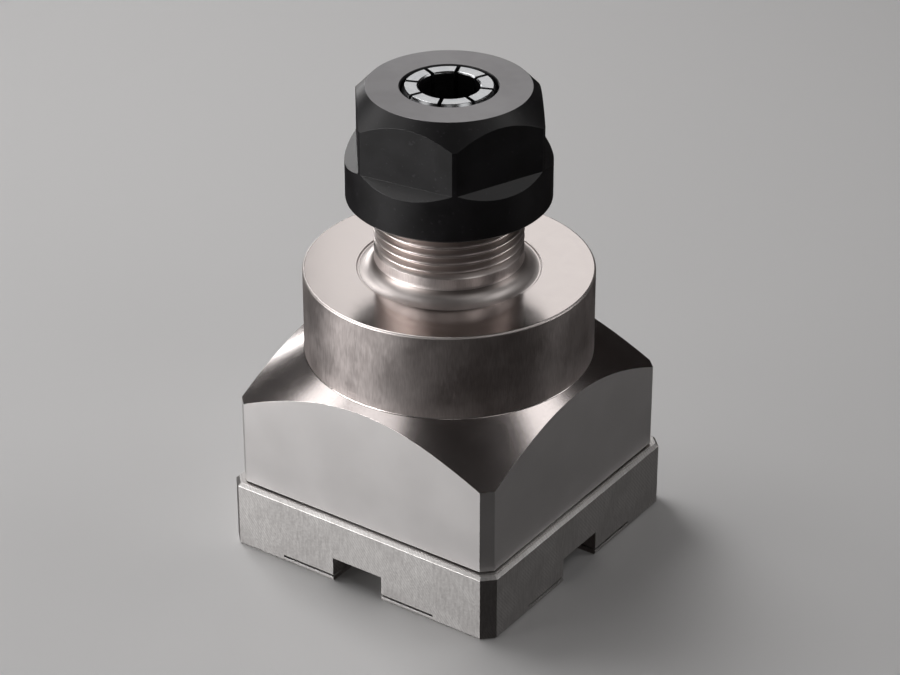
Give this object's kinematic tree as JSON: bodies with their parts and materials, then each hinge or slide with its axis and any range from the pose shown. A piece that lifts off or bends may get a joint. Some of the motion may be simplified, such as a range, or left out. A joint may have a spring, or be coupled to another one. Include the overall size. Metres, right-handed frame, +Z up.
{
  "type": "collet chuck",
  "caption": "Spring-collet chuck on a square notched reference plate, with a hexagon clamping nut on its threaded nose.",
  "frame": {"origin": "middle of the reference plate's underside, which the chuck stands on", "axes": "+Z up along the collet's axis, out of its open end; X and Y square to the plate's sides"},
  "size_m": [0.054, 0.054, 0.0834],
  "materials": {
    "ground_steel": "ground and lapped hardened steel, pale grey, satin",
    "turned_steel": "fine-turned and ground steel, warm grey",
    "screw_steel": "blackened screw steel",
    "dowel_steel": "ground bright steel",
    "collet_steel": "ground spring steel, bright",
    "black_oxide": "black oxide with a bright ground front face"
  },
  "bodies": {
    "chuck": {"reference_plate": "ground_steel", "plate_screw_1": "screw_steel", "plate_screw_2": "screw_steel", "plate_screw_3": "screw_steel", "plate_screw_4": "screw_steel", "plate_dowel_1": "dowel_steel", "plate_dowel_2": "dowel_steel", "chuck_body": "turned_steel"},
    "spring_collet": {"collet": "collet_steel"},
    "nut": {"clamping_nut": "black_oxide"}
  },
  "joints": [
    {"name": "collet_draw", "type": "slide", "parent": "chuck", "child": "spring_collet", "axis": [0, 0, 1], "range_m": [-0.00151, 0.01126]},
    {"name": "nut_turn", "type": "hinge", "parent": "spring_collet", "child": "nut", "pos_m": [0, 0, 0.0635], "axis": [0, 0, 1], "range_deg": [-360, 2700]}
  ],
  "couplings": [
    {"joint": "collet_draw", "follows": "nut_turn", "m_per_rad": 0.00023873}
  ]
}
